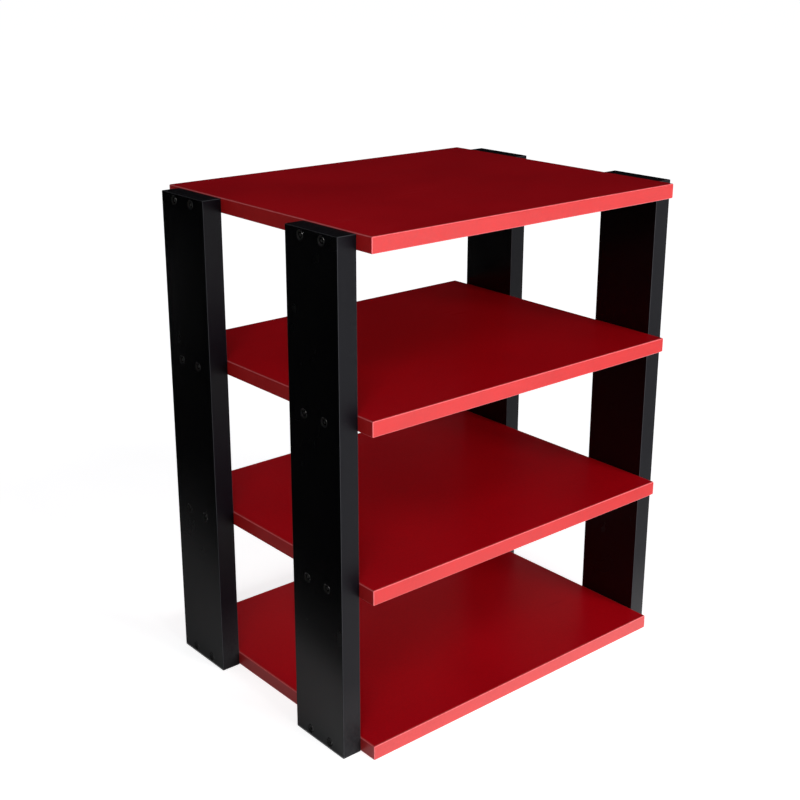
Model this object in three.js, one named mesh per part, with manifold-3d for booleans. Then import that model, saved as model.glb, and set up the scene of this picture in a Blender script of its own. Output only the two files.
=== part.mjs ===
// Open rack for audio equipment: four shelves screwed between four upright boards.
// Millimetres, +Z up. The origin is on the floor under the middle of the rack, and the front faces -Y.

import * as THREE from 'three';
import { mergeVertices, toCreasedNormals } from 'three/addons/utils/BufferGeometryUtils.js';
import Module from 'manifold-3d';

const wasm = await Module();
wasm.setup();

// Shelves, from the floor up. Their size includes the edge bands.
const shelfNames = ['bottom', 'lower', 'upper', 'top'];
const shelfWidth = 500;
const shelfDepth = 410;
const shelfThickness = 19;
const bayHeight = 188;

// Posts. Their size includes the edging on the front, top and back.
const postWidth = 95;
const postThickness = 26;
const postSetback = 26; // from the front or back edge of a shelf to the post
const postDrop = 1; // the posts stop this far below the top of the rack

// Plastic edge bands, glued to the narrow faces of the boards
const shelfBandThickness = 2;
const shelfArrisRadius = 1.5;
const postBandThickness = 1;
const postArrisRadius = 0.8;
const postBandFootGap = 0.5; // the edging of a post stops this far above the floor
const glueLine = 0.1;
const postSeatGap = 0.1; // between a post and the ends of the shelves

// Screws, two at each crossing of a post and a shelf, at mid thickness of the shelf
const screwsPerCrossing = 2;
const screwSpacing = 38;
const screwLength = 70;
const screwHeadDiameter = 10;
const screwHeadSink = 0.8; // from the face of the post down to the head
const screwNeckDiameter = 7;
const screwNeckLength = 14;
const screwThreadDiameter = 6.2;
const screwTipLength = 4;
const screwTipDiameter = 2.5;
const socketWidth = 4; // across the flats of the hexagon
const socketDepth = 3;
const screwClearance = 0.3; // all round a screw and past its tip

// How finely round shapes are cut, and how far a cut runs past the face that it starts from
const arrisSteps = 3;
const screwSides = 12;
const postHoleSides = 16;
const socketSides = 6;
const cutOverrun = 5;
const weldDistance = 0.0001;
const halfTurnDegrees = 180;
const creaseAngle = Math.PI / 5; // faces that meet at less than this are shaded as one curve

// Largest part of a band's thickness, or of half its width, that a rounded arris may take
const largestArrisShare = 0.95;

// Places worked out from the sizes above
const shelfPitch = bayHeight + shelfThickness;
const rackHeight = shelfPitch * (shelfNames.length - 1) + shelfThickness;
const postHeight = rackHeight - postDrop;
const postOuterFaceX = shelfWidth / 2 + postSeatGap + postThickness;
const postCentreY = shelfDepth / 2 - postSetback - postWidth / 2;
const screwHeights = shelfNames.map((name, level) => level * shelfPitch + shelfThickness / 2);
const screwOffsets = [];
for (let i = 0; i < screwsPerCrossing; i += 1) {
  screwOffsets.push((i - (screwsPerCrossing - 1) / 2) * screwSpacing);
}

const redBoard = new THREE.MeshStandardMaterial({ color: 0x8c0a12, roughness: 0.42, metalness: 0 });
const redBand = new THREE.MeshStandardMaterial({ color: 0xa01620, roughness: 0.38, metalness: 0 });
const blackBoard = new THREE.MeshStandardMaterial({ color: 0x141416, roughness: 0.5, metalness: 0 });
const blackBand = new THREE.MeshStandardMaterial({ color: 0x18181b, roughness: 0.45, metalness: 0 });
const blackSteel = new THREE.MeshStandardMaterial({ color: 0x1c1c1f, roughness: 0.4, metalness: 0.6 });

// Closed three.js geometry to solid. Triangles that close up on the axis of a lathe are dropped.
function toSolid(geometry) {
  const bare = geometry.clone();
  bare.deleteAttribute('normal');
  bare.deleteAttribute('uv');
  const welded = mergeVertices(bare, weldDistance);
  const corners = welded.index.array;
  const kept = [];
  for (let i = 0; i < corners.length; i += 3) {
    const [a, b, c] = corners.slice(i, i + 3);
    if (a !== b && b !== c && c !== a) {
      kept.push(a, b, c);
    }
  }
  return new wasm.Manifold(new wasm.Mesh({
    numProp: 3,
    vertProperties: new Float32Array(welded.attributes.position.array),
    triVerts: new Uint32Array(kept),
  }));
}

function toGeometry(solid) {
  const mesh = solid.getMesh();
  const geometry = new THREE.BufferGeometry();
  geometry.setAttribute('position', new THREE.BufferAttribute(new Float32Array(mesh.vertProperties), 3));
  geometry.setIndex(new THREE.BufferAttribute(new Uint32Array(mesh.triVerts), 1));
  return toCreasedNormals(geometry, creaseAngle);
}

function named(name, geometry, material) {
  const mesh = new THREE.Mesh(geometry, material);
  mesh.name = name;
  return mesh;
}

// Box between two corners
function box(low, high) {
  const size = high.map((value, i) => value - low[i]);
  const geometry = new THREE.BoxGeometry(...size);
  geometry.translate(...low.map((value, i) => value + size[i] / 2));
  return toSolid(geometry);
}

// Rectangle from (left, bottom) to (right, top). Each side named in rounded has its two corners rounded.
function roundedRectangle(left, bottom, right, top, radius, rounded) {
  const quarter = Math.PI / 2;
  const corners = [
    { x: left, y: bottom, toCentre: [1, 1], start: Math.PI, sides: ['left', 'bottom'] },
    { x: right, y: bottom, toCentre: [-1, 1], start: -quarter, sides: ['right', 'bottom'] },
    { x: right, y: top, toCentre: [-1, -1], start: 0, sides: ['right', 'top'] },
    { x: left, y: top, toCentre: [1, -1], start: quarter, sides: ['left', 'top'] },
  ];
  const points = [];
  for (const corner of corners) {
    const isRound = corner.sides.some((side) => rounded.includes(side));
    if (!isRound) {
      points.push(new THREE.Vector2(corner.x, corner.y));
      continue;
    }
    const centreX = corner.x + corner.toCentre[0] * radius;
    const centreY = corner.y + corner.toCentre[1] * radius;
    for (let step = 0; step <= arrisSteps; step += 1) {
      const angle = corner.start + (quarter * step) / arrisSteps;
      points.push(new THREE.Vector2(centreX + radius * Math.cos(angle), centreY + radius * Math.sin(angle)));
    }
  }
  return new THREE.Shape(points);
}

// Directions of a section's across and up, and of the length that it is drawn along
const alongX = [[0, 1, 0], [0, 0, 1], [1, 0, 0]];
const alongY = [[0, 0, 1], [1, 0, 0], [0, 1, 0]];
const alongZ = [[1, 0, 0], [0, 1, 0], [0, 0, 1]];

// Solid of a section drawn from start to end along one axis
function bar(shape, start, end, directions) {
  const geometry = new THREE.ExtrudeGeometry(shape, { depth: end - start, bevelEnabled: false });
  geometry.translate(0, 0, start);
  const [across, up, length] = directions.map((direction) => new THREE.Vector3(...direction));
  geometry.applyMatrix4(new THREE.Matrix4().makeBasis(across, up, length));
  return toSolid(geometry);
}

// Round solid about the X axis. Each profile point gives a place along the axis and a radius there.
function turned(profile, sides) {
  const points = profile.map(([along, radius]) => new THREE.Vector2(radius, along));
  const geometry = new THREE.LatheGeometry(points, sides);
  geometry.rotateZ(-Math.PI / 2);
  return toSolid(geometry);
}

function hexagonalPrism(acrossFlats, start, end) {
  const cornerRadius = acrossFlats / Math.sqrt(3);
  const geometry = new THREE.CylinderGeometry(cornerRadius, cornerRadius, end - start, socketSides);
  geometry.rotateZ(-Math.PI / 2);
  geometry.translate((start + end) / 2, 0, 0);
  return toSolid(geometry);
}

// Radius of a rounded arris, held within the thickness and the width of its band
function arrisWithin(radius, thickness, width) {
  return Math.min(radius, thickness * largestArrisShare, (width / 2) * largestArrisShare);
}

// Screw
// It lies along +X with the face of its head at zero, and its head tapers at 45 degrees. The thread is drawn
// as a plain cylinder between the thread's core and its crest.

function screwGeometry() {
  const headRadius = screwHeadDiameter / 2;
  const neckRadius = screwNeckDiameter / 2;
  const threadRadius = screwThreadDiameter / 2;
  const body = turned([
    [0, 0],
    [0, headRadius],
    [headRadius - neckRadius, neckRadius],
    [screwNeckLength, neckRadius],
    [screwNeckLength, threadRadius],
    [screwLength - screwTipLength, threadRadius],
    [screwLength, screwTipDiameter / 2],
    [screwLength, 0],
  ], screwSides);
  const socket = hexagonalPrism(socketWidth, -cutOverrun, socketDepth);
  return toGeometry(body.subtract(socket));
}

// Hole through a post for a screw. The countersink runs parallel to the head and leaves it below the face.
function postHole() {
  const boreRadius = screwNeckDiameter / 2 + screwClearance;
  const mouthRadius = screwHeadDiameter / 2 + screwHeadSink + screwClearance;
  return turned([
    [-cutOverrun, 0],
    [-cutOverrun, mouthRadius + cutOverrun],
    [mouthRadius - boreRadius, boreRadius],
    [postThickness + cutOverrun, boreRadius],
    [postThickness + cutOverrun, 0],
  ], postHoleSides);
}

// Blind hole in the end of a shelf, measured from the outer face of the post like the screw itself
function shelfHole() {
  const radius = Math.max(screwNeckDiameter, screwThreadDiameter) / 2 + screwClearance;
  const end = screwHeadSink + screwLength + screwClearance;
  return turned([
    [postThickness - cutOverrun, 0],
    [postThickness - cutOverrun, radius],
    [end, radius],
    [end, 0],
  ], screwSides);
}

// Shelf
// Its own frame has the origin at the middle of its underside. The same half frame of a front band and a
// left band, turned by half a turn, gives the back band and the right band.

function shelfHolesAtLeft() {
  const hole = shelfHole();
  const holes = [];
  for (const side of [-1, 1]) {
    for (const offset of screwOffsets) {
      const y = side * postCentreY + offset;
      holes.push(hole.translate([-postOuterFaceX, y, shelfThickness / 2]));
    }
  }
  return holes;
}

function shelfBoardGeometry() {
  const inset = shelfBandThickness + glueLine;
  const halfWidth = shelfWidth / 2 - inset;
  const halfDepth = shelfDepth / 2 - inset;
  let board = box([-halfWidth, -halfDepth, 0], [halfWidth, halfDepth, shelfThickness]);
  for (const hole of shelfHolesAtLeft()) {
    board = board.subtract(hole).subtract(hole.rotate([0, 0, halfTurnDegrees]));
  }
  return toGeometry(board);
}

function frontBandGeometry() {
  const radius = arrisWithin(shelfArrisRadius, shelfBandThickness, shelfThickness);
  const [left, right] = [-shelfWidth / 2, shelfWidth / 2];
  const [outer, inner] = [-shelfDepth / 2, -shelfDepth / 2 + shelfBandThickness];
  const plan = roundedRectangle(left, outer, right, inner, radius, ['bottom']);
  const section = roundedRectangle(outer, 0, inner, shelfThickness, radius, ['left']);
  const front = roundedRectangle(0, left, shelfThickness, right, radius, ['bottom', 'top']);
  const band = bar(plan, 0, shelfThickness, alongZ)
    .intersect(bar(section, left, right, alongX))
    .intersect(bar(front, outer, inner, alongY));
  return toGeometry(band);
}

function leftBandGeometry() {
  const radius = arrisWithin(shelfArrisRadius, shelfBandThickness, shelfThickness);
  const [outer, inner] = [-shelfWidth / 2, -shelfWidth / 2 + shelfBandThickness];
  const halfLength = shelfDepth / 2 - shelfBandThickness - glueLine;
  const section = roundedRectangle(0, outer, shelfThickness, inner, radius, ['bottom']);
  let band = bar(section, -halfLength, halfLength, alongY);
  for (const hole of shelfHolesAtLeft()) {
    band = band.subtract(hole);
  }
  return toGeometry(band);
}

function makeShelf(name, geometries) {
  const shelf = new THREE.Group();
  shelf.add(named(`${name}_shelf_board`, geometries.board, redBoard));
  const bandNames = [['front', 'left'], ['back', 'right']];
  bandNames.forEach(([alongName, endName], halfTurns) => {
    const half = new THREE.Group();
    half.rotation.z = halfTurns * Math.PI;
    half.add(named(`${name}_shelf_${alongName}_band`, geometries.frontBand, redBand));
    half.add(named(`${name}_shelf_${endName}_band`, geometries.leftBand, redBand));
    shelf.add(half);
  });
  return shelf;
}

// Post
// Its own frame has the origin at the foot of its outer face, in the middle of its width, and +X runs
// through its thickness towards the shelves.

function cutPostHoles(solid) {
  const hole = postHole();
  let cut = solid;
  for (const height of screwHeights) {
    for (const offset of screwOffsets) {
      cut = cut.subtract(hole.translate([0, offset, height]));
    }
  }
  return cut;
}

function postBoardGeometry() {
  const inset = postBandThickness + glueLine;
  const halfWidth = postWidth / 2 - inset;
  const board = box([0, -halfWidth, 0], [postThickness, halfWidth, postHeight - inset]);
  return toGeometry(cutPostHoles(board));
}

// One arch of edging over the front, the top and the back of a post
function postEdgingGeometry() {
  const radius = arrisWithin(postArrisRadius, postBandThickness, postThickness);
  const halfWidth = postWidth / 2;
  const foot = postBandFootGap;
  const plan = roundedRectangle(0, -halfWidth, postThickness, halfWidth, radius, ['left', 'right']);
  const front = roundedRectangle(foot, 0, postHeight, postThickness, radius, ['right']);
  const side = roundedRectangle(-halfWidth, foot, halfWidth, postHeight, radius, ['top']);
  const envelope = bar(plan, foot, postHeight, alongZ)
    .intersect(bar(front, -halfWidth, halfWidth, alongY))
    .intersect(bar(side, 0, postThickness, alongX));
  const innerHalfWidth = halfWidth - postBandThickness;
  const core = box(
    [-cutOverrun, -innerHalfWidth, -cutOverrun],
    [postThickness + cutOverrun, innerHalfWidth, postHeight - postBandThickness],
  );
  return toGeometry(cutPostHoles(envelope.subtract(core)));
}

function makePost(name, geometries) {
  const post = new THREE.Group();
  post.add(named(`${name}_post_board`, geometries.board, blackBoard));
  post.add(named(`${name}_post_edging`, geometries.edging, blackBand));
  screwHeights.forEach((height, level) => {
    screwOffsets.forEach((offset, index) => {
      const screw = named(`${name}_${shelfNames[level]}_screw_${index + 1}`, geometries.screw, blackSteel);
      screw.position.set(screwHeadSink, offset, height);
      post.add(screw);
    });
  });
  return post;
}

const rack = new THREE.Group();

const shelfGeometries = {
  board: shelfBoardGeometry(),
  frontBand: frontBandGeometry(),
  leftBand: leftBandGeometry(),
};
shelfNames.forEach((name, level) => {
  const shelf = makeShelf(name, shelfGeometries);
  shelf.position.z = level * shelfPitch;
  rack.add(shelf);
});

const postGeometries = {
  board: postBoardGeometry(),
  edging: postEdgingGeometry(),
  screw: screwGeometry(),
};
const postPlaces = [
  { name: 'front_left', x: -1, y: -1 },
  { name: 'back_left', x: -1, y: 1 },
  { name: 'front_right', x: 1, y: -1 },
  { name: 'back_right', x: 1, y: 1 },
];
for (const place of postPlaces) {
  const post = makePost(place.name, postGeometries);
  post.position.set(place.x * postOuterFaceX, place.y * postCentreY, 0);
  post.rotation.z = place.x > 0 ? Math.PI : 0;
  rack.add(post);
}

export default rack;
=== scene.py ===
"""Open rack for audio equipment: red laminated shelves screwed between black laminated posts."""

import math

import bmesh
import bpy
from mathutils import Matrix, Vector


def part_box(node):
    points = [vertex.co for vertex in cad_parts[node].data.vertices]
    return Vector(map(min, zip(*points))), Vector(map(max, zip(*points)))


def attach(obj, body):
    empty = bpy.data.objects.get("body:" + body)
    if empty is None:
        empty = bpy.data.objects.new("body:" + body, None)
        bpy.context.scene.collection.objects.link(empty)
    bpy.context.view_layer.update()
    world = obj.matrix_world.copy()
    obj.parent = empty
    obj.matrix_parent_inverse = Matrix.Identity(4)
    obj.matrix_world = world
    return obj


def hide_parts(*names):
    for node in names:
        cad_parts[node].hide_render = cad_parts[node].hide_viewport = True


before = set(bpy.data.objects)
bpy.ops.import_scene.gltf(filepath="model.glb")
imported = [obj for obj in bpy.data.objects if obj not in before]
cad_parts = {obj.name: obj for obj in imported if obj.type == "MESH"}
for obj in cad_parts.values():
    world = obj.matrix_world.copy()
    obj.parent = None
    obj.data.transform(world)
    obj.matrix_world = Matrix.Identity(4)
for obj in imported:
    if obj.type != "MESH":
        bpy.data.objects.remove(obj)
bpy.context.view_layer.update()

BODY = "root"
MM = 0.001

SHELVES = ("bottom", "lower", "upper", "top")
POSTS = ("front_left", "back_left", "front_right", "back_right")
SCREWS_PER_CROSSING = 2

# Edge bands
SHELF_BAND_ARRIS = 1.5 * MM
POST_BAND_THICKNESS = 1 * MM
POST_BAND_ARRIS = 0.8 * MM
POST_BAND_SEAM = 0.1 * MM  # between the strips of a post's edging
ARRIS_STEPS = 6
ROUND_PROFILE = 0.5

# Screws and their holes
HEAD_RADIUS = 5 * MM
HEAD_RIM_RADIUS = 0.6 * MM
RIM_TURN = 135  # degrees, from the face of the head round to its taper
HEAD_SINK = 0.8 * MM
NECK_RADIUS = 3.5 * MM
NECK_LENGTH = 14 * MM
THREAD_CORE_RADIUS = 2.5 * MM
THREAD_CREST_RADIUS = 3.4 * MM
THREAD_PITCH = 3.5 * MM
RIDGE_SHARE = 0.5  # of the pitch that the ridge takes up
TIP_LENGTH = 4 * MM
TIP_RADIUS = 1.2 * MM
SOCKET_WIDTH = 4 * MM  # across the flats of the hexagon
SOCKET_DEPTH = 2.6 * MM
SOCKET_CONE = 0.5 * MM
SOCKET_CHAMFER = 0.1 * MM
SCREW_CLEARANCE = 0.3 * MM
MOUTH_LIP = 0.2 * MM  # the broken edge of the laminate round a countersink
RIM_STEPS = 5
SCREW_SIDES = 36
HEXAGON_SIDES = 6
THREAD_STEPS_PER_TURN = 6
HOLE_SIDES = 48
CUT_OVERRUN = 4 * MM
SHARP_ANGLE = math.radians(30)
LARGE_FACE_WEIGHT = 100  # how far large faces win over small ones in the shading


def mesh_object(name, bm):
    """New object of a bmesh, smooth apart from its sharp edges"""
    bmesh.ops.recalc_face_normals(bm, faces=bm.faces)
    mesh = bpy.data.meshes.new(name)
    bm.to_mesh(mesh)
    bm.free()
    shade(mesh)
    piece = bpy.data.objects.new(name, mesh)
    bpy.context.scene.collection.objects.link(piece)
    return piece


def shade(mesh):
    mesh.polygons.foreach_set("use_smooth", [True] * len(mesh.polygons))
    mesh.set_sharp_from_angle(angle=SHARP_ANGLE)


def even_shading(piece):
    """Keeps the large flat faces flat and lets the narrow arrises turn between them"""
    modifier = piece.modifiers.new("even shading", "WEIGHTED_NORMAL")
    modifier.keep_sharp = True
    modifier.weight = LARGE_FACE_WEIGHT


def finish_piece(piece, slot, *nodes):
    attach(piece, BODY)
    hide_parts(*nodes)
    return piece


def strip(name, low, high, arris, square_sides):
    """Strip with rounded arrises. Those round each square side, such as (1, 1) for +Y, stay square."""
    bm = bmesh.new()
    size = high - low
    place = Matrix.Translation((low + high) / 2) @ Matrix.Diagonal((*size, 1))
    bmesh.ops.create_cube(bm, size=1, matrix=place)

    def on_square_side(edge):
        for axis, sign in square_sides:
            side = high[axis] if sign > 0 else low[axis]
            if all(abs(vertex.co[axis] - side) < size[axis] / 2 for vertex in edge.verts):
                return True
        return False

    rounded = [edge for edge in bm.edges if not on_square_side(edge)]
    bmesh.ops.bevel(
        bm, geom=rounded, offset=arris, offset_type="OFFSET", segments=ARRIS_STEPS,
        profile=ROUND_PROFILE, affect="EDGES", clamp_overlap=True,
    )
    piece = mesh_object(name, bm)
    even_shading(piece)
    return piece


def on_ring(along, radius, angle):
    """Point of a ring round the X axis"""
    return Vector((along, radius * math.cos(angle), radius * math.sin(angle)))


def add_turned(bm, profile, place, sides):
    """Adds a closed solid turned about the X axis. Its profile starts and ends on the axis."""
    rings = []
    for along, radius in profile[1:-1]:
        angles = [2 * math.pi * side / sides for side in range(sides)]
        points = [on_ring(along, radius, angle) for angle in angles]
        rings.append([bm.verts.new(place @ point) for point in points])
    join_rings(bm, rings)
    for (along, _), ring in ((profile[0], rings[0]), (profile[-1], rings[-1])):
        close_ring(bm, ring, place @ Vector((along, 0, 0)))


def join_rings(bm, rings):
    for ring, following in zip(rings, rings[1:]):
        for side in range(len(ring)):
            after = (side + 1) % len(ring)
            bm.faces.new((ring[side], ring[after], following[after], following[side]))


def close_ring(bm, ring, centre):
    middle = bm.verts.new(centre)
    for side in range(len(ring)):
        bm.faces.new((ring[side], ring[(side + 1) % len(ring)], middle))


def cut(piece, bm):
    """Cuts the closed solids of a bmesh out of a piece"""
    bmesh.ops.recalc_face_normals(bm, faces=bm.faces)
    cutter = mesh_object(piece.name + "_cutter", bm)
    modifier = piece.modifiers.new("holes", "BOOLEAN")
    modifier.operation = "DIFFERENCE"
    modifier.solver = "EXACT"
    modifier.object = cutter
    shading = piece.modifiers.get("even shading")
    if shading:
        piece.modifiers.remove(shading)
    evaluated = piece.evaluated_get(bpy.context.evaluated_depsgraph_get())
    mesh = bpy.data.meshes.new_from_object(evaluated)
    piece.modifiers.clear()
    piece.data = mesh
    shade(mesh)
    even_shading(piece)
    bpy.data.objects.remove(cutter)


def screw_node(post, shelf, index):
    return f"{post}_{shelf}_screw_{index + 1}"


def screws_of(post):
    return [screw_node(post, shelf, index) for shelf in SHELVES for index in range(SCREWS_PER_CROSSING)]


def screw_place(node):
    """Place and direction of a screw: the X axis runs from the middle of its head's face to its tip"""
    low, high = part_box(node)
    middle = (low + high) / 2
    if middle.x < 0:
        return Matrix.Translation((low.x, middle.y, middle.z))
    return Matrix.Translation((high.x, middle.y, middle.z)) @ Matrix.Rotation(math.pi, 4, "Z")


def hexagon_radius(angle):
    """Distance from the axis to the socket's wall, with a corner at angle zero"""
    side = 2 * math.pi / HEXAGON_SIDES
    return SOCKET_WIDTH / 2 / math.cos(angle % side - side / 2)


def screw_ring(bm, place, along, radius_at):
    ring = []
    for side in range(SCREW_SIDES):
        angle = 2 * math.pi * side / SCREW_SIDES
        ring.append(bm.verts.new(place @ on_ring(along, radius_at(angle), angle)))
    return ring


def rim_points():
    """Rounded rim between the face of the head and its taper, as places and radii"""
    centre_radius = HEAD_RADIUS - HEAD_RIM_RADIUS * (1 + math.sqrt(2))
    points = []
    for step in range(RIM_STEPS + 1):
        angle = math.radians(180 - RIM_TURN * step / RIM_STEPS)
        along = HEAD_RIM_RADIUS * (1 + math.cos(angle))
        points.append((along, centre_radius + HEAD_RIM_RADIUS * math.sin(angle)))
    return points


def thread_radius(along, angle, start, end):
    """Ridge that winds round the core and fades out at both ends"""
    turn = ((along - start) / THREAD_PITCH - angle / (2 * math.pi)) % 1
    ridge = max(0, 1 - abs(turn - 0.5) / (RIDGE_SHARE / 2))
    fade = min(1, (along - start) / THREAD_PITCH, (end - along) / THREAD_PITCH)
    return THREAD_CORE_RADIUS + (THREAD_CREST_RADIUS - THREAD_CORE_RADIUS) * ridge * max(0, fade)


def make_screw(node):
    """Countersunk wood screw, from the bottom of its hexagonal socket out and along to its tip"""
    low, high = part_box(node)
    length = high.x - low.x
    place = screw_place(node)
    bm = bmesh.new()
    mouth_radius = SOCKET_WIDTH / math.sqrt(3) + SOCKET_CHAMFER
    rings = [
        screw_ring(bm, place, SOCKET_DEPTH, hexagon_radius),
        screw_ring(bm, place, SOCKET_CHAMFER, hexagon_radius),
        screw_ring(bm, place, 0, lambda angle: mouth_radius),
    ]
    for along, radius in rim_points():
        rings.append(screw_ring(bm, place, along, lambda angle, radius=radius: radius))
    neck_start = HEAD_RADIUS - NECK_RADIUS
    thread_start = NECK_LENGTH + NECK_RADIUS - THREAD_CORE_RADIUS
    thread_end = length - TIP_LENGTH
    for along in (neck_start, NECK_LENGTH):
        rings.append(screw_ring(bm, place, along, lambda angle: NECK_RADIUS))
    steps = round((thread_end - thread_start) / THREAD_PITCH * THREAD_STEPS_PER_TURN)
    for step in range(steps + 1):
        along = thread_start + (thread_end - thread_start) * step / steps
        rings.append(screw_ring(
            bm, place, along,
            lambda angle, along=along: thread_radius(along, angle, thread_start, thread_end),
        ))
    rings.append(screw_ring(bm, place, length, lambda angle: TIP_RADIUS))
    join_rings(bm, rings)
    close_ring(bm, rings[0], place @ Vector((SOCKET_DEPTH + SOCKET_CONE, 0, 0)))
    close_ring(bm, rings[-1], place @ Vector((length, 0, 0)))
    return finish_piece(mesh_object(f"{node}_turned", bm), "black_screw", node)


def make_shelf_bands(shelf):
    """The four bands of a shelf. The front and back ones run its full width."""
    pieces = []
    for side, axis, sign in (("front", 1, -1), ("back", 1, 1), ("left", 0, -1), ("right", 0, 1)):
        node = f"{shelf}_shelf_{side}_band"
        low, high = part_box(node)
        square = [(axis, -sign)]
        if axis == 0:
            square += [(1, -1), (1, 1)]
        piece = strip(f"{node}_rounded", low, high, SHELF_BAND_ARRIS, square)
        if axis == 0:
            holes = bmesh.new()
            bore = NECK_RADIUS + SCREW_CLEARANCE
            for post in POSTS:
                for index in range(SCREWS_PER_CROSSING):
                    place = screw_place(screw_node(post, shelf, index))
                    if place.translation.x * sign > 0:
                        length = abs(place.translation.x) - abs(low.x + high.x) / 2 + CUT_OVERRUN
                        profile = ((0, 0), (0, bore), (length, bore), (length, 0))
                        add_turned(holes, profile, place, HOLE_SIDES)
            cut(piece, holes)
        pieces.append(finish_piece(piece, "red_band", node))
    return pieces


def make_post_board(post):
    """Board of a post with a countersunk hole for each screw"""
    node = f"{post}_post_board"
    low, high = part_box(node)
    bm = bmesh.new()
    place = Matrix.Translation((low + high) / 2) @ Matrix.Diagonal((*(high - low), 1))
    bmesh.ops.create_cube(bm, size=1, matrix=place)
    piece = mesh_object(f"{node}_countersunk", bm)
    bore = NECK_RADIUS + SCREW_CLEARANCE
    mouth = HEAD_RADIUS + HEAD_SINK + SCREW_CLEARANCE
    end = high.x - low.x + CUT_OVERRUN
    profile = (
        (-CUT_OVERRUN, 0),
        (-CUT_OVERRUN, mouth + MOUTH_LIP / 2),
        (0, mouth + MOUTH_LIP / 2),
        (MOUTH_LIP, mouth - MOUTH_LIP),
        (mouth - bore, bore),
        (end, bore),
        (end, 0),
    )
    holes = bmesh.new()
    for screw in screws_of(post):
        face = screw_place(screw) @ Matrix.Translation((-HEAD_SINK, 0, 0))
        add_turned(holes, profile, face, HOLE_SIDES)
    cut(piece, holes)
    return finish_piece(piece, "black_board", node)


def make_post_edging(post):
    """Three strips over the front, the back and the top of a post"""
    node = f"{post}_post_edging"
    low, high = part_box(node)
    pieces = []
    for side, sign in (("front", -1), ("back", 1)):
        strip_low, strip_high = low.copy(), high.copy()
        if sign < 0:
            strip_high.y = low.y + POST_BAND_THICKNESS
        else:
            strip_low.y = high.y - POST_BAND_THICKNESS
        name = f"{post}_post_{side}_strip"
        pieces.append(strip(name, strip_low, strip_high, POST_BAND_ARRIS, [(1, -sign), (2, -1)]))
    strip_low, strip_high = low.copy(), high.copy()
    strip_low.z = high.z - POST_BAND_THICKNESS
    strip_low.y += POST_BAND_THICKNESS + POST_BAND_SEAM
    strip_high.y -= POST_BAND_THICKNESS + POST_BAND_SEAM
    square = [(2, -1), (1, -1), (1, 1)]
    pieces.append(strip(f"{post}_post_top_strip", strip_low, strip_high, POST_BAND_ARRIS, square))
    for piece in pieces:
        finish_piece(piece, "black_band", node)
    return pieces


# Materials

# Sockets of a Mix node that mixes colours
MIX_SHARE, MIX_FIRST, MIX_SECOND = 0, 6, 7
MIX_RESULT = 2


class Paint:
    """A material in the making: its nodes, its object coordinates and its shader"""

    def __init__(self, name):
        self.material = bpy.data.materials.new(name)
        self.material.use_nodes = True
        self.tree = self.material.node_tree
        self.tree.nodes.clear()
        self.shader = self.add("ShaderNodeBsdfPrincipled")
        output = self.add("ShaderNodeOutputMaterial")
        self.link(self.shader.outputs["BSDF"], output.inputs["Surface"])
        self.coordinates = self.add("ShaderNodeTexCoord")

    def add(self, kind, **settings):
        node = self.tree.nodes.new(kind)
        for name, value in settings.items():
            setattr(node, name, value)
        return node

    def link(self, source, target):
        self.tree.links.new(source, target)

    def feed(self, socket, value):
        if isinstance(value, bpy.types.NodeSocket):
            self.link(value, socket)
        else:
            socket.default_value = value

    def math(self, operation, *values):
        node = self.add("ShaderNodeMath", operation=operation)
        for socket, value in zip(node.inputs, values):
            self.feed(socket, value)
        return node.outputs[0]

    def noise(self, size, detail, stretch=(1, 1, 1)):
        """Noise whose lumps are about size across, in metres, and longer along an axis by its stretch"""
        mapping = self.add("ShaderNodeMapping")
        self.link(self.coordinates.outputs["Object"], mapping.inputs["Vector"])
        mapping.inputs["Scale"].default_value = [1 / share for share in stretch]
        node = self.add("ShaderNodeTexNoise")
        self.link(mapping.outputs["Vector"], node.inputs["Vector"])
        node.inputs["Scale"].default_value = 1 / size
        node.inputs["Detail"].default_value = detail
        return node.outputs["Fac"]

    def spread(self, value, low, high, to_low=0.0, to_high=1.0):
        """Value from low to high, spread over to_low to to_high and held there"""
        node = self.add("ShaderNodeMapRange")
        for name, number in (("Value", value), ("From Min", low), ("From Max", high),
                             ("To Min", to_low), ("To Max", to_high)):
            self.feed(node.inputs[name], number)
        return node.outputs["Result"]

    def mix(self, share, first, second, blend="MIX"):
        node = self.add("ShaderNodeMix", data_type="RGBA", blend_type=blend)
        self.feed(node.inputs[MIX_SHARE], share)
        self.feed(node.inputs[MIX_FIRST], first)
        self.feed(node.inputs[MIX_SECOND], second)
        return node.outputs[MIX_RESULT]

    def facing(self, axis):
        """How squarely the surface faces along an axis, from 0 to 1"""
        parts = self.add("ShaderNodeSeparateXYZ")
        self.link(self.coordinates.outputs["Normal"], parts.inputs[0])
        return self.math("ABSOLUTE", parts.outputs[axis])

    def height(self):
        """Height above the floor, in metres"""
        place = self.add("ShaderNodeSeparateXYZ")
        self.link(self.coordinates.outputs["Object"], place.inputs[0])
        return place.outputs["Z"]

    def arrises(self, turned):
        """1 where a surface turns between two square faces, and 0 on the faces"""
        squarest = self.facing(0)
        for axis in (1, 2):
            squarest = self.math("MAXIMUM", squarest, self.facing(axis))
        return self.spread(squarest, *turned)

    def bump(self, height, distance, strength):
        node = self.add("ShaderNodeBump")
        node.inputs["Strength"].default_value = strength
        node.inputs["Distance"].default_value = distance
        self.link(height, node.inputs["Height"])
        self.link(node.outputs["Normal"], self.shader.inputs["Normal"])

    def set(self, **values):
        for name, value in values.items():
            self.feed(self.shader.inputs[name.replace("_", " ")], value)


# Colours and markings

# Where a noise begins to count and where it counts in full. Noise runs from 0 to 1, mostly close to 0.5.
EVENLY = (0.3, 0.7)
BROADLY = (0.25, 0.75)

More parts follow.
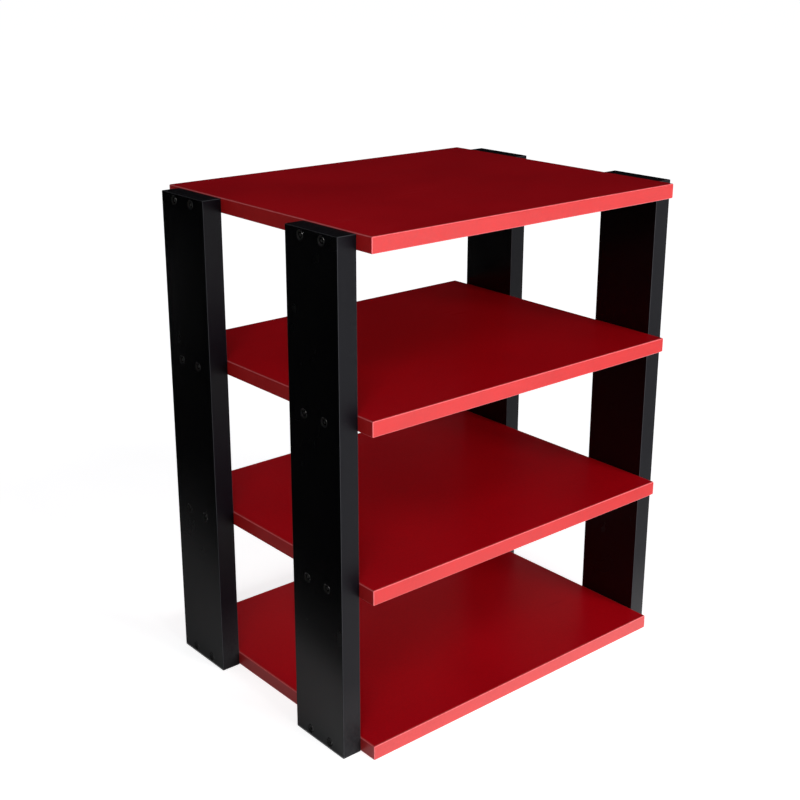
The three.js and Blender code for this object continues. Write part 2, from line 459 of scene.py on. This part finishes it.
RED = (0.465, 0.0012, 0.0066)
RED_BAND = (0.465, 0.0080, 0.0088)
# Paler colour of a red arris: partly rubbing, partly a painted highlight
RED_WORN_AND_HIGHLIGHT = (0.85, 0.19, 0.205)
CHIPBOARD = (0.42, 0.27, 0.14)
BLACK = (0.0015, 0.0015, 0.0019)
BLACK_BAND = (0.0018, 0.0018, 0.0032)
# Paler colour of a black arris: partly rubbing, partly a painted highlight
BLACK_WORN_AND_HIGHLIGHT = (0.060, 0.060, 0.066)
BLACK_CORE = (0.018, 0.0175, 0.017)
# Pale colour mixed in near the floor: painted light thrown up by the floor
PAINTED_FLOOR_LIGHT = (0.80, 0.78, 0.78)
DARK_FILM = (0.0007, 0.0007, 0.0008)
PALE_FILM = (0.0020, 0.0019, 0.0019)
BARE_STEEL = (0.50, 0.49, 0.48)

# Laminate. Sizes are those of a noise's lumps, and tones are shares of the colour.
CLOUD_SIZE = 0.16
CLOUD_TONES = (0.9, 1.08)
MOTTLE_SIZE = 0.0025
MOTTLE_RANGE = (0.35, 0.7)
MOTTLE_SHARE = 0.35
MOTTLE_TONE = 1.3
WIPE_SIZE = 0.006
WIPE_STRETCH = (14, 3, 6)
WIPE_RANGE = (0.66, 0.78)
WIPED_PATCHES = (0.45, 0.6)
WIPE_SHARE = 0.22
WIPE_ROUGHNESS = 0.14
WIPE_TONE = 0.75
WIPE_HAZE = 0.02
CHIPS_PER_METRE = 700
CHIP_SHARE = 0.35
SKIN_FACING = (0.9, 0.97)
LAMINATE_ROUGHER = 0.05  # on either side of the middle
GRAIN_RELIEF = 0.8
MOTTLE_RELIEF = 0.5
LAMINATE_RELIEF = (0.05 * MM, 0.5)  # depth and strength

# Edge bands
BAND_CLOUD_SIZE = 0.05
BAND_CLOUD_TONES = (0.93, 1.05)
BAND_MOTTLE_SIZE = 0.004
BAND_MOTTLE_RANGE = (0.3, 0.72)
BAND_MOTTLE_SHARE = 0.5
BAND_MOTTLE_TONE = 1.16
BAND_GRAIN_SIZE = 0.0009
BAND_TURNED = (0.99, 0.86)  # how squarely a surface faces where its paler arris, from rubbing and a painted highlight, begins, and where it is full
BAND_WEAR_AND_HIGHLIGHT_RANGE = (0.2, 0.6)
LEAST_WEAR_AND_HIGHLIGHT = 0.6  # share of the full rubbing and painted highlight
PAINTED_FLOOR_LIGHT_SHARE = 0.018  # at the floor, of the painted light thrown up by the floor
PAINTED_FLOOR_LIGHT_HEIGHT = 0.1
PAINTED_FLOOR_LIGHT_PATCHES = (0.7, 1.3)
BAND_SMOOTHER, BAND_ROUGHER = 0.05, 0.06
BAND_MOTTLE_RELIEF = 1.4
BAND_RELIEF = (0.04 * MM, 0.5)

# Blackened steel
FILM_SIZE = 0.004
STEEL_GRAIN_SIZE = 0.0005
RIM_TURNED = (0.88, 0.76)
RIM_WEAR_RANGE = (0.4, 0.62)
RIM_WEAR = (0.75, 1.0)
STEEL_ROUGHNESS = (0.18, 0.30)
STEEL_LEVEL = 0.2
STEEL_RELIEF = (0.02 * MM, 0.4)


def shaded(colour, share):
    return (colour[0] * share, colour[1] * share, colour[2] * share, 1)


def laminate(name, colour, core_colour, face_axis, level, roughness, grain_size):
    """Laminated chipboard: a satin skin on the two large faces and chips of wood in between"""
    paint = Paint(name)
    cloud = paint.noise(CLOUD_SIZE, detail=3)
    mottle = paint.noise(MOTTLE_SIZE, detail=3)
    wipes = paint.noise(WIPE_SIZE, detail=4, stretch=WIPE_STRETCH)
    grain = paint.noise(grain_size, detail=2)

    dark_tone, pale_tone = CLOUD_TONES
    skin = paint.mix(paint.spread(cloud, *EVENLY), shaded(colour, dark_tone), shaded(colour, pale_tone))
    mottled = paint.spread(mottle, *MOTTLE_RANGE, 0, MOTTLE_SHARE)
    skin = paint.mix(mottled, skin, shaded(colour, MOTTLE_TONE))
    scuffs = paint.math("MULTIPLY", paint.spread(wipes, *WIPE_RANGE), paint.spread(cloud, *WIPED_PATCHES))
    dull = tuple(WIPE_TONE * part + WIPE_HAZE for part in colour)
    skin = paint.mix(paint.math("MULTIPLY", scuffs, WIPE_SHARE), skin, (*dull, 1))

    chips = paint.add("ShaderNodeTexVoronoi")
    paint.link(paint.coordinates.outputs["Object"], chips.inputs["Vector"])
    chips.inputs["Scale"].default_value = CHIPS_PER_METRE
    chip_tone = paint.mix(CHIP_SHARE, (*core_colour, 1), chips.outputs["Color"], "MULTIPLY")

    is_skin = paint.spread(paint.facing(face_axis), *SKIN_FACING)
    smoothest, roughest = roughness - LAMINATE_ROUGHER, roughness + LAMINATE_ROUGHER
    paint.set(
        Base_Color=paint.mix(is_skin, chip_tone, skin),
        Roughness=paint.math(
            "ADD",
            paint.spread(cloud, *BROADLY, smoothest, roughest),
            paint.math("MULTIPLY", scuffs, WIPE_ROUGHNESS),
        ),
        Specular_IOR_Level=level,
    )
    relief = paint.math(
        "ADD",
        paint.math("MULTIPLY", grain, GRAIN_RELIEF),
        paint.math("MULTIPLY", mottle, MOTTLE_RELIEF),
    )
    paint.bump(relief, *LAMINATE_RELIEF)
    return paint.material


def band(name, colour, worn_and_highlight_colour, level, roughness, wear_and_highlight):
    """Plastic edge band: mottled, paler on its arris from rubbing and a painted highlight, and paler just
    above the floor from painted light thrown up by the floor
    """
    paint = Paint(name)
    cloud = paint.noise(BAND_CLOUD_SIZE, detail=2)
    mottle = paint.noise(BAND_MOTTLE_SIZE, detail=4)
    grain = paint.noise(BAND_GRAIN_SIZE, detail=2)

    dark_tone, pale_tone = BAND_CLOUD_TONES
    body = paint.mix(paint.spread(cloud, *EVENLY), shaded(colour, dark_tone), shaded(colour, pale_tone))
    mottled = paint.spread(mottle, *BAND_MOTTLE_RANGE, 0, BAND_MOTTLE_SHARE)
    body = paint.mix(mottled, body, shaded(colour, BAND_MOTTLE_TONE))
    worn = paint.spread(mottle, *BAND_WEAR_AND_HIGHLIGHT_RANGE, wear_and_highlight * LEAST_WEAR_AND_HIGHLIGHT, wear_and_highlight)
    # The paler arris is partly rubbing and partly a painted highlight
    rubbed = paint.math("MULTIPLY", paint.arrises(BAND_TURNED), worn)
    # Paler just above the floor, in patches: painted light thrown up by the floor
    low = paint.spread(paint.height(), PAINTED_FLOOR_LIGHT_HEIGHT, 0, 0, PAINTED_FLOOR_LIGHT_SHARE)
    floor_lit = paint.math("MULTIPLY", low, paint.spread(mottle, *EVENLY, *PAINTED_FLOOR_LIGHT_PATCHES))

    paint.set(
        Base_Color=paint.mix(floor_lit, paint.mix(rubbed, body, (*worn_and_highlight_colour, 1)), (*PAINTED_FLOOR_LIGHT, 1)),
        Roughness=paint.spread(mottle, *BROADLY, roughness - BAND_SMOOTHER, roughness + BAND_ROUGHER),
        Specular_IOR_Level=level,
    )
    relief = paint.math("ADD", grain, paint.math("MULTIPLY", mottle, BAND_MOTTLE_RELIEF))
    paint.bump(relief, *BAND_RELIEF)
    return paint.material


def blackened_steel(name):
    """Blackened screw: a thin dark film, rubbed through to the steel on the rim of the head"""
    paint = Paint(name)
    cloud = paint.noise(FILM_SIZE, detail=4)
    grain = paint.noise(STEEL_GRAIN_SIZE, detail=2)
    film = paint.mix(paint.spread(cloud, *EVENLY), (*DARK_FILM, 1), (*PALE_FILM, 1))
    worn = paint.spread(cloud, *RIM_WEAR_RANGE, *RIM_WEAR)
    rubbed = paint.math("MULTIPLY", paint.arrises(RIM_TURNED), worn)
    paint.set(
        Base_Color=paint.mix(rubbed, film, (*BARE_STEEL, 1)),
        Metallic=rubbed,
        Roughness=paint.spread(cloud, *BROADLY, *STEEL_ROUGHNESS),
        Specular_IOR_Level=STEEL_LEVEL,
    )
    paint.bump(grain, *STEEL_RELIEF)
    return paint.material


red_laminate = laminate(
    "red_laminate", RED, CHIPBOARD, face_axis=2, level=0.12, roughness=0.34, grain_size=0.0007)
black_laminate = laminate(
    "black_laminate", BLACK, BLACK_CORE, face_axis=0, level=0.27, roughness=0.24, grain_size=0.0009)
red_band = band("red_edge_band", RED_BAND, RED_WORN_AND_HIGHLIGHT, level=0.76, roughness=0.34, wear_and_highlight=0.85)
black_band = band("black_edge_band", BLACK_BAND, BLACK_WORN_AND_HIGHLIGHT, level=0.152, roughness=0.42, wear_and_highlight=0.8)
screw_steel = blackened_steel("blackened_steel")


def paint_with(pieces, material):
    for piece in pieces:
        piece.data.materials.clear()
        piece.data.materials.append(material)


# The rack
for shelf in SHELVES:
    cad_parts[f"{shelf}_shelf_board"].material_slots[0].material = red_laminate
    paint_with(make_shelf_bands(shelf), red_band)
for post in POSTS:
    paint_with([make_post_board(post)], black_laminate)
    paint_with(make_post_edging(post), black_band)
    paint_with([make_screw(node) for node in screws_of(post)], screw_steel)

# Studio
FLOOR_HALF_WIDTH = 40
FLOOR_DROP = 0.05 * MM  # below the feet, so that the two faces don't meet
FLOOR_COLOUR = (0.80, 0.80, 0.80)
FLOOR_ROUGHNESS = 0.9
# The floor's glow, to the camera and in gloss: two distances from the rack, and its strength at each. To
# the camera it is weaker near the rack, a painted shade round it; in gloss it paints the floor's
# reflection.
GLOW_IN_CAMERA = (0.5, 2.5, 0.75, 0.86)
GLOW_IN_GLOSS = (0.36, 0.6, 1.0, 0.65)
GLOW_FAR_OFF = (1.2, 1.8, 0, 0.35)  # added to the one in gloss
WORLD_LIGHT = (0.172, 0.176, 0.186)
WHITE = (1, 1, 1)

# Lamps. A heading is in degrees to the right of straight ahead of the rack.
LAMP_AIM = Vector((0, 0, 0.36))
KEY_LAMP = {"heading": 8, "elevation": 7, "distance": 5, "size": (2.8, 2), "power": 330}
FILL_LAMP = {"heading": -50, "elevation": 38, "distance": 3, "size": (0.7, 0.7), "power": 14}

# Dark cards round the rack, seen only in gloss, paint dark reflections in place of the white studio. Arcs
# run from one heading to another, in degrees from +X towards +Y.
CARD_COLOUR = (0.006, 0.006, 0.006)
ARC_RADIUS = 1.4
ARC_STEPS = 48
BACK_ARC = (-15, 210)
BACK_CARD_BOTTOM = 0.32
FRONT_ARC = (-120, -15)
FRONT_CARD_BOTTOM = 0.6
ARC_CARD_TOP = 2.8
SIDE_CARD_PATH = [(-1.3, -1.1), (-0.352, -0.3), (-0.654, 1.6)]
SIDE_CARD_TOP = 0.68

# Sheets that lie just above the floor, seen only in gloss, where they paint shade into the floor's
# reflection
SHEET_HEIGHT = 2 * MM
SHEET_PAINTED_SHADES = (-0.1, 0.34, 0.94, 0.48)  # two places from front to back, and the painted shade at each
SIDE_SHEET = [(-0.25, -0.4), (-0.25, 1.6), (-1.2, 1.6), (-1.2, -0.4)]
FRONT_SHEET = [(0.37, -0.45), (2.0, -2.2), (3.4, -2.2), (1.9, -0.45)]


def joined(tree, operation, first, second):
    node = tree.nodes.new("ShaderNodeMath")
    node.operation = operation
    tree.links.new(first, node.inputs[0])
    tree.links.new(second, node.inputs[1])
    return node.outputs[0]


def rays_by_kind(tree):
    """1 for the rays of the camera, and 1 for those of gloss or through glass"""
    rays = tree.nodes.new("ShaderNodeLightPath")
    glossy, transmitted = rays.outputs["Is Glossy Ray"], rays.outputs["Is Transmission Ray"]
    return rays.outputs["Is Camera Ray"], joined(tree, "MAXIMUM", glossy, transmitted)


def glow_level(tree, levels):
    """Glow of the floor, which changes with the distance from the rack"""
    coordinates = tree.nodes.new("ShaderNodeTexCoord")
    distance = tree.nodes.new("ShaderNodeVectorMath")
    distance.operation = "LENGTH"
    tree.links.new(coordinates.outputs["Object"], distance.inputs[0])
    return ramp(tree, distance.outputs["Value"], levels)


def ramp(tree, value, levels):
    node = tree.nodes.new("ShaderNodeMapRange")
    tree.links.new(value, node.inputs["Value"])
    for name, level in zip(("From Min", "From Max", "To Min", "To Max"), levels):
        node.inputs[name].default_value = level
    return node.outputs["Result"]


def make_floor():
    bm = bmesh.new()
    half = FLOOR_HALF_WIDTH
    corners = [(-half, -half), (half, -half), (half, half), (-half, half)]
    bm.faces.new([bm.verts.new((x, y, -FLOOR_DROP)) for x, y in corners])
    mesh = bpy.data.meshes.new("floor")
    bm.to_mesh(mesh)
    bm.free()
    floor = bpy.data.objects.new("floor", mesh)
    bpy.context.scene.collection.objects.link(floor)
    material = bpy.data.materials.new("pale_floor")
    material.use_nodes = True
    tree = material.node_tree
    shader = tree.nodes["Principled BSDF"]
    shader.inputs["Base Color"].default_value = (*FLOOR_COLOUR, 1)
    shader.inputs["Roughness"].default_value = FLOOR_ROUGHNESS
    shader.inputs["Specular IOR Level"].default_value = 0
    shader.inputs["Emission Color"].default_value = (*WHITE, 1)
    camera_rays, indirect_rays = rays_by_kind(tree)
    # To the camera the glow is weaker near the rack, which paints the floor darker round it
    seen = joined(tree, "MULTIPLY", camera_rays, glow_level(tree, GLOW_IN_CAMERA))
    # In gloss the glow paints the floor's reflection: full close to the rack, dimmer further out, full
    # again far off
    in_gloss = joined(tree, "ADD", glow_level(tree, GLOW_IN_GLOSS), glow_level(tree, GLOW_FAR_OFF))
    mirrored = joined(tree, "MULTIPLY", indirect_rays, in_gloss)
    tree.links.new(joined(tree, "MAXIMUM", seen, mirrored), shader.inputs["Emission Strength"])
    mesh.materials.append(material)
    material.cycles.emission_sampling = "NONE"


def make_world():
    world = bpy.data.worlds.new("studio")
    bpy.context.scene.world = world
    world.use_nodes = True
    tree = world.node_tree
    background = tree.nodes["Background"]
    colour = tree.nodes.new("ShaderNodeMix")
    colour.data_type = "RGBA"
    tree.links.new(joined(tree, "MAXIMUM", *rays_by_kind(tree)), colour.inputs[MIX_SHARE])
    colour.inputs[MIX_FIRST].default_value = (*WORLD_LIGHT, 1)
    colour.inputs[MIX_SECOND].default_value = (*WHITE, 1)
    tree.links.new(colour.outputs[MIX_RESULT], background.inputs["Color"])
    background.inputs["Strength"].default_value = 1


def make_lamp(name, heading, elevation, distance, size, power):
    """Soft lamp aimed at the rack"""
    light = bpy.data.lights.new(name, "AREA")
    light.shape = "RECTANGLE"
    light.size, light.size_y = size
    light.energy = power
    lamp = bpy.data.objects.new(name, light)
    bpy.context.scene.collection.objects.link(lamp)
    heading, elevation = math.radians(heading), math.radians(elevation)
    level = math.cos(elevation)
    towards = Vector((math.sin(heading) * level, -math.cos(heading) * level, math.sin(elevation)))
    lamp.location = LAMP_AIM + towards * distance
    lamp.rotation_euler = towards.to_track_quat("Z", "Y").to_euler()
    return lamp


def arc(start, end):
    """Points of an arc round the rack"""
    angles = [math.radians(start + (end - start) * step / ARC_STEPS) for step in range(ARC_STEPS + 1)]
    return [(ARC_RADIUS * math.cos(angle), ARC_RADIUS * math.sin(angle)) for angle in angles]


def make_flag(name, bm):
    """Adds a card or sheet that only gloss shows. Returns its material's tree and shader."""
    mesh = bpy.data.meshes.new(name)
    bm.to_mesh(mesh)
    bm.free()
    flag = bpy.data.objects.new(name, mesh)
    bpy.context.scene.collection.objects.link(flag)
    material = bpy.data.materials.new(name)
    material.use_nodes = True
    shader = material.node_tree.nodes["Principled BSDF"]
    shader.inputs["Specular IOR Level"].default_value = 0
    mesh.materials.append(material)
    flag.visible_camera = False
    flag.visible_diffuse = False
    flag.visible_shadow = False
    flag.visible_transmission = False
    return material.node_tree, shader


def make_card(name, path, bottom, top):
    """Dark card over a path on the floor, seen only in gloss, where it paints a dark reflection in place of
    the white studio
    """
    bm = bmesh.new()
    columns = [(bm.verts.new((x, y, bottom)), bm.verts.new((x, y, top))) for x, y in path]
    for (low_a, high_a), (low_b, high_b) in zip(columns, columns[1:]):
        bm.faces.new((low_a, low_b, high_b, high_a))
    _, shader = make_flag(name, bm)
    shader.inputs["Base Color"].default_value = (*CARD_COLOUR, 1)


def make_sheet(name, corners):
    """Sheet that hides the floor's glow from gloss, and is darker towards the back: a painted shade of the
    floor, seen only in its reflection
    """
    bm = bmesh.new()
    bm.faces.new([bm.verts.new((x, y, SHEET_HEIGHT)) for x, y in corners])
    tree, shader = make_flag(name, bm)
    place = tree.nodes.new("ShaderNodeSeparateXYZ")
    tree.links.new(tree.nodes.new("ShaderNodeTexCoord").outputs["Object"], place.inputs[0])
    tree.links.new(ramp(tree, place.outputs["Y"], SHEET_PAINTED_SHADES), shader.inputs["Base Color"])


make_floor()
make_world()
key = make_lamp("key", **KEY_LAMP)
key.visible_glossy = False  # its glare would whiten the shelves when they are seen from behind
make_lamp("fill", **FILL_LAMP)
make_card("back_card", arc(*BACK_ARC), BACK_CARD_BOTTOM, ARC_CARD_TOP)
make_card("front_card", arc(*FRONT_ARC), FRONT_CARD_BOTTOM, ARC_CARD_TOP)
make_card("side_card", SIDE_CARD_PATH, 0, SIDE_CARD_TOP)
make_sheet("side_sheet", SIDE_SHEET)
make_sheet("front_sheet", FRONT_SHEET)

# Camera
LENS_MM = 58.96
SENSOR_MM = 36
SHIFT_Y = -0.042
CAMERA_PLACE = (-1.1011, -1.2521, 0.9347)
CAMERA_HEADING = 40.366  # degrees from +Y towards +X
CAMERA_TILT = 17.957  # degrees below the horizon
CAMERA_ROLL = 0.111

camera_data = bpy.data.cameras.new("camera")
camera_data.lens = LENS_MM
camera_data.sensor_width = SENSOR_MM
camera_data.shift_y = SHIFT_Y
camera = bpy.data.objects.new("camera", camera_data)
bpy.context.scene.collection.objects.link(camera)
camera.matrix_world = (
    Matrix.Translation(CAMERA_PLACE)
    @ Matrix.Rotation(math.radians(-CAMERA_HEADING), 4, "Z")
    @ Matrix.Rotation(math.radians(90 - CAMERA_TILT), 4, "X")
    @ Matrix.Rotation(math.radians(CAMERA_ROLL), 4, "Z")
)
bpy.context.scene.camera = camera
bpy.context.scene.view_settings.view_transform = "Standard"
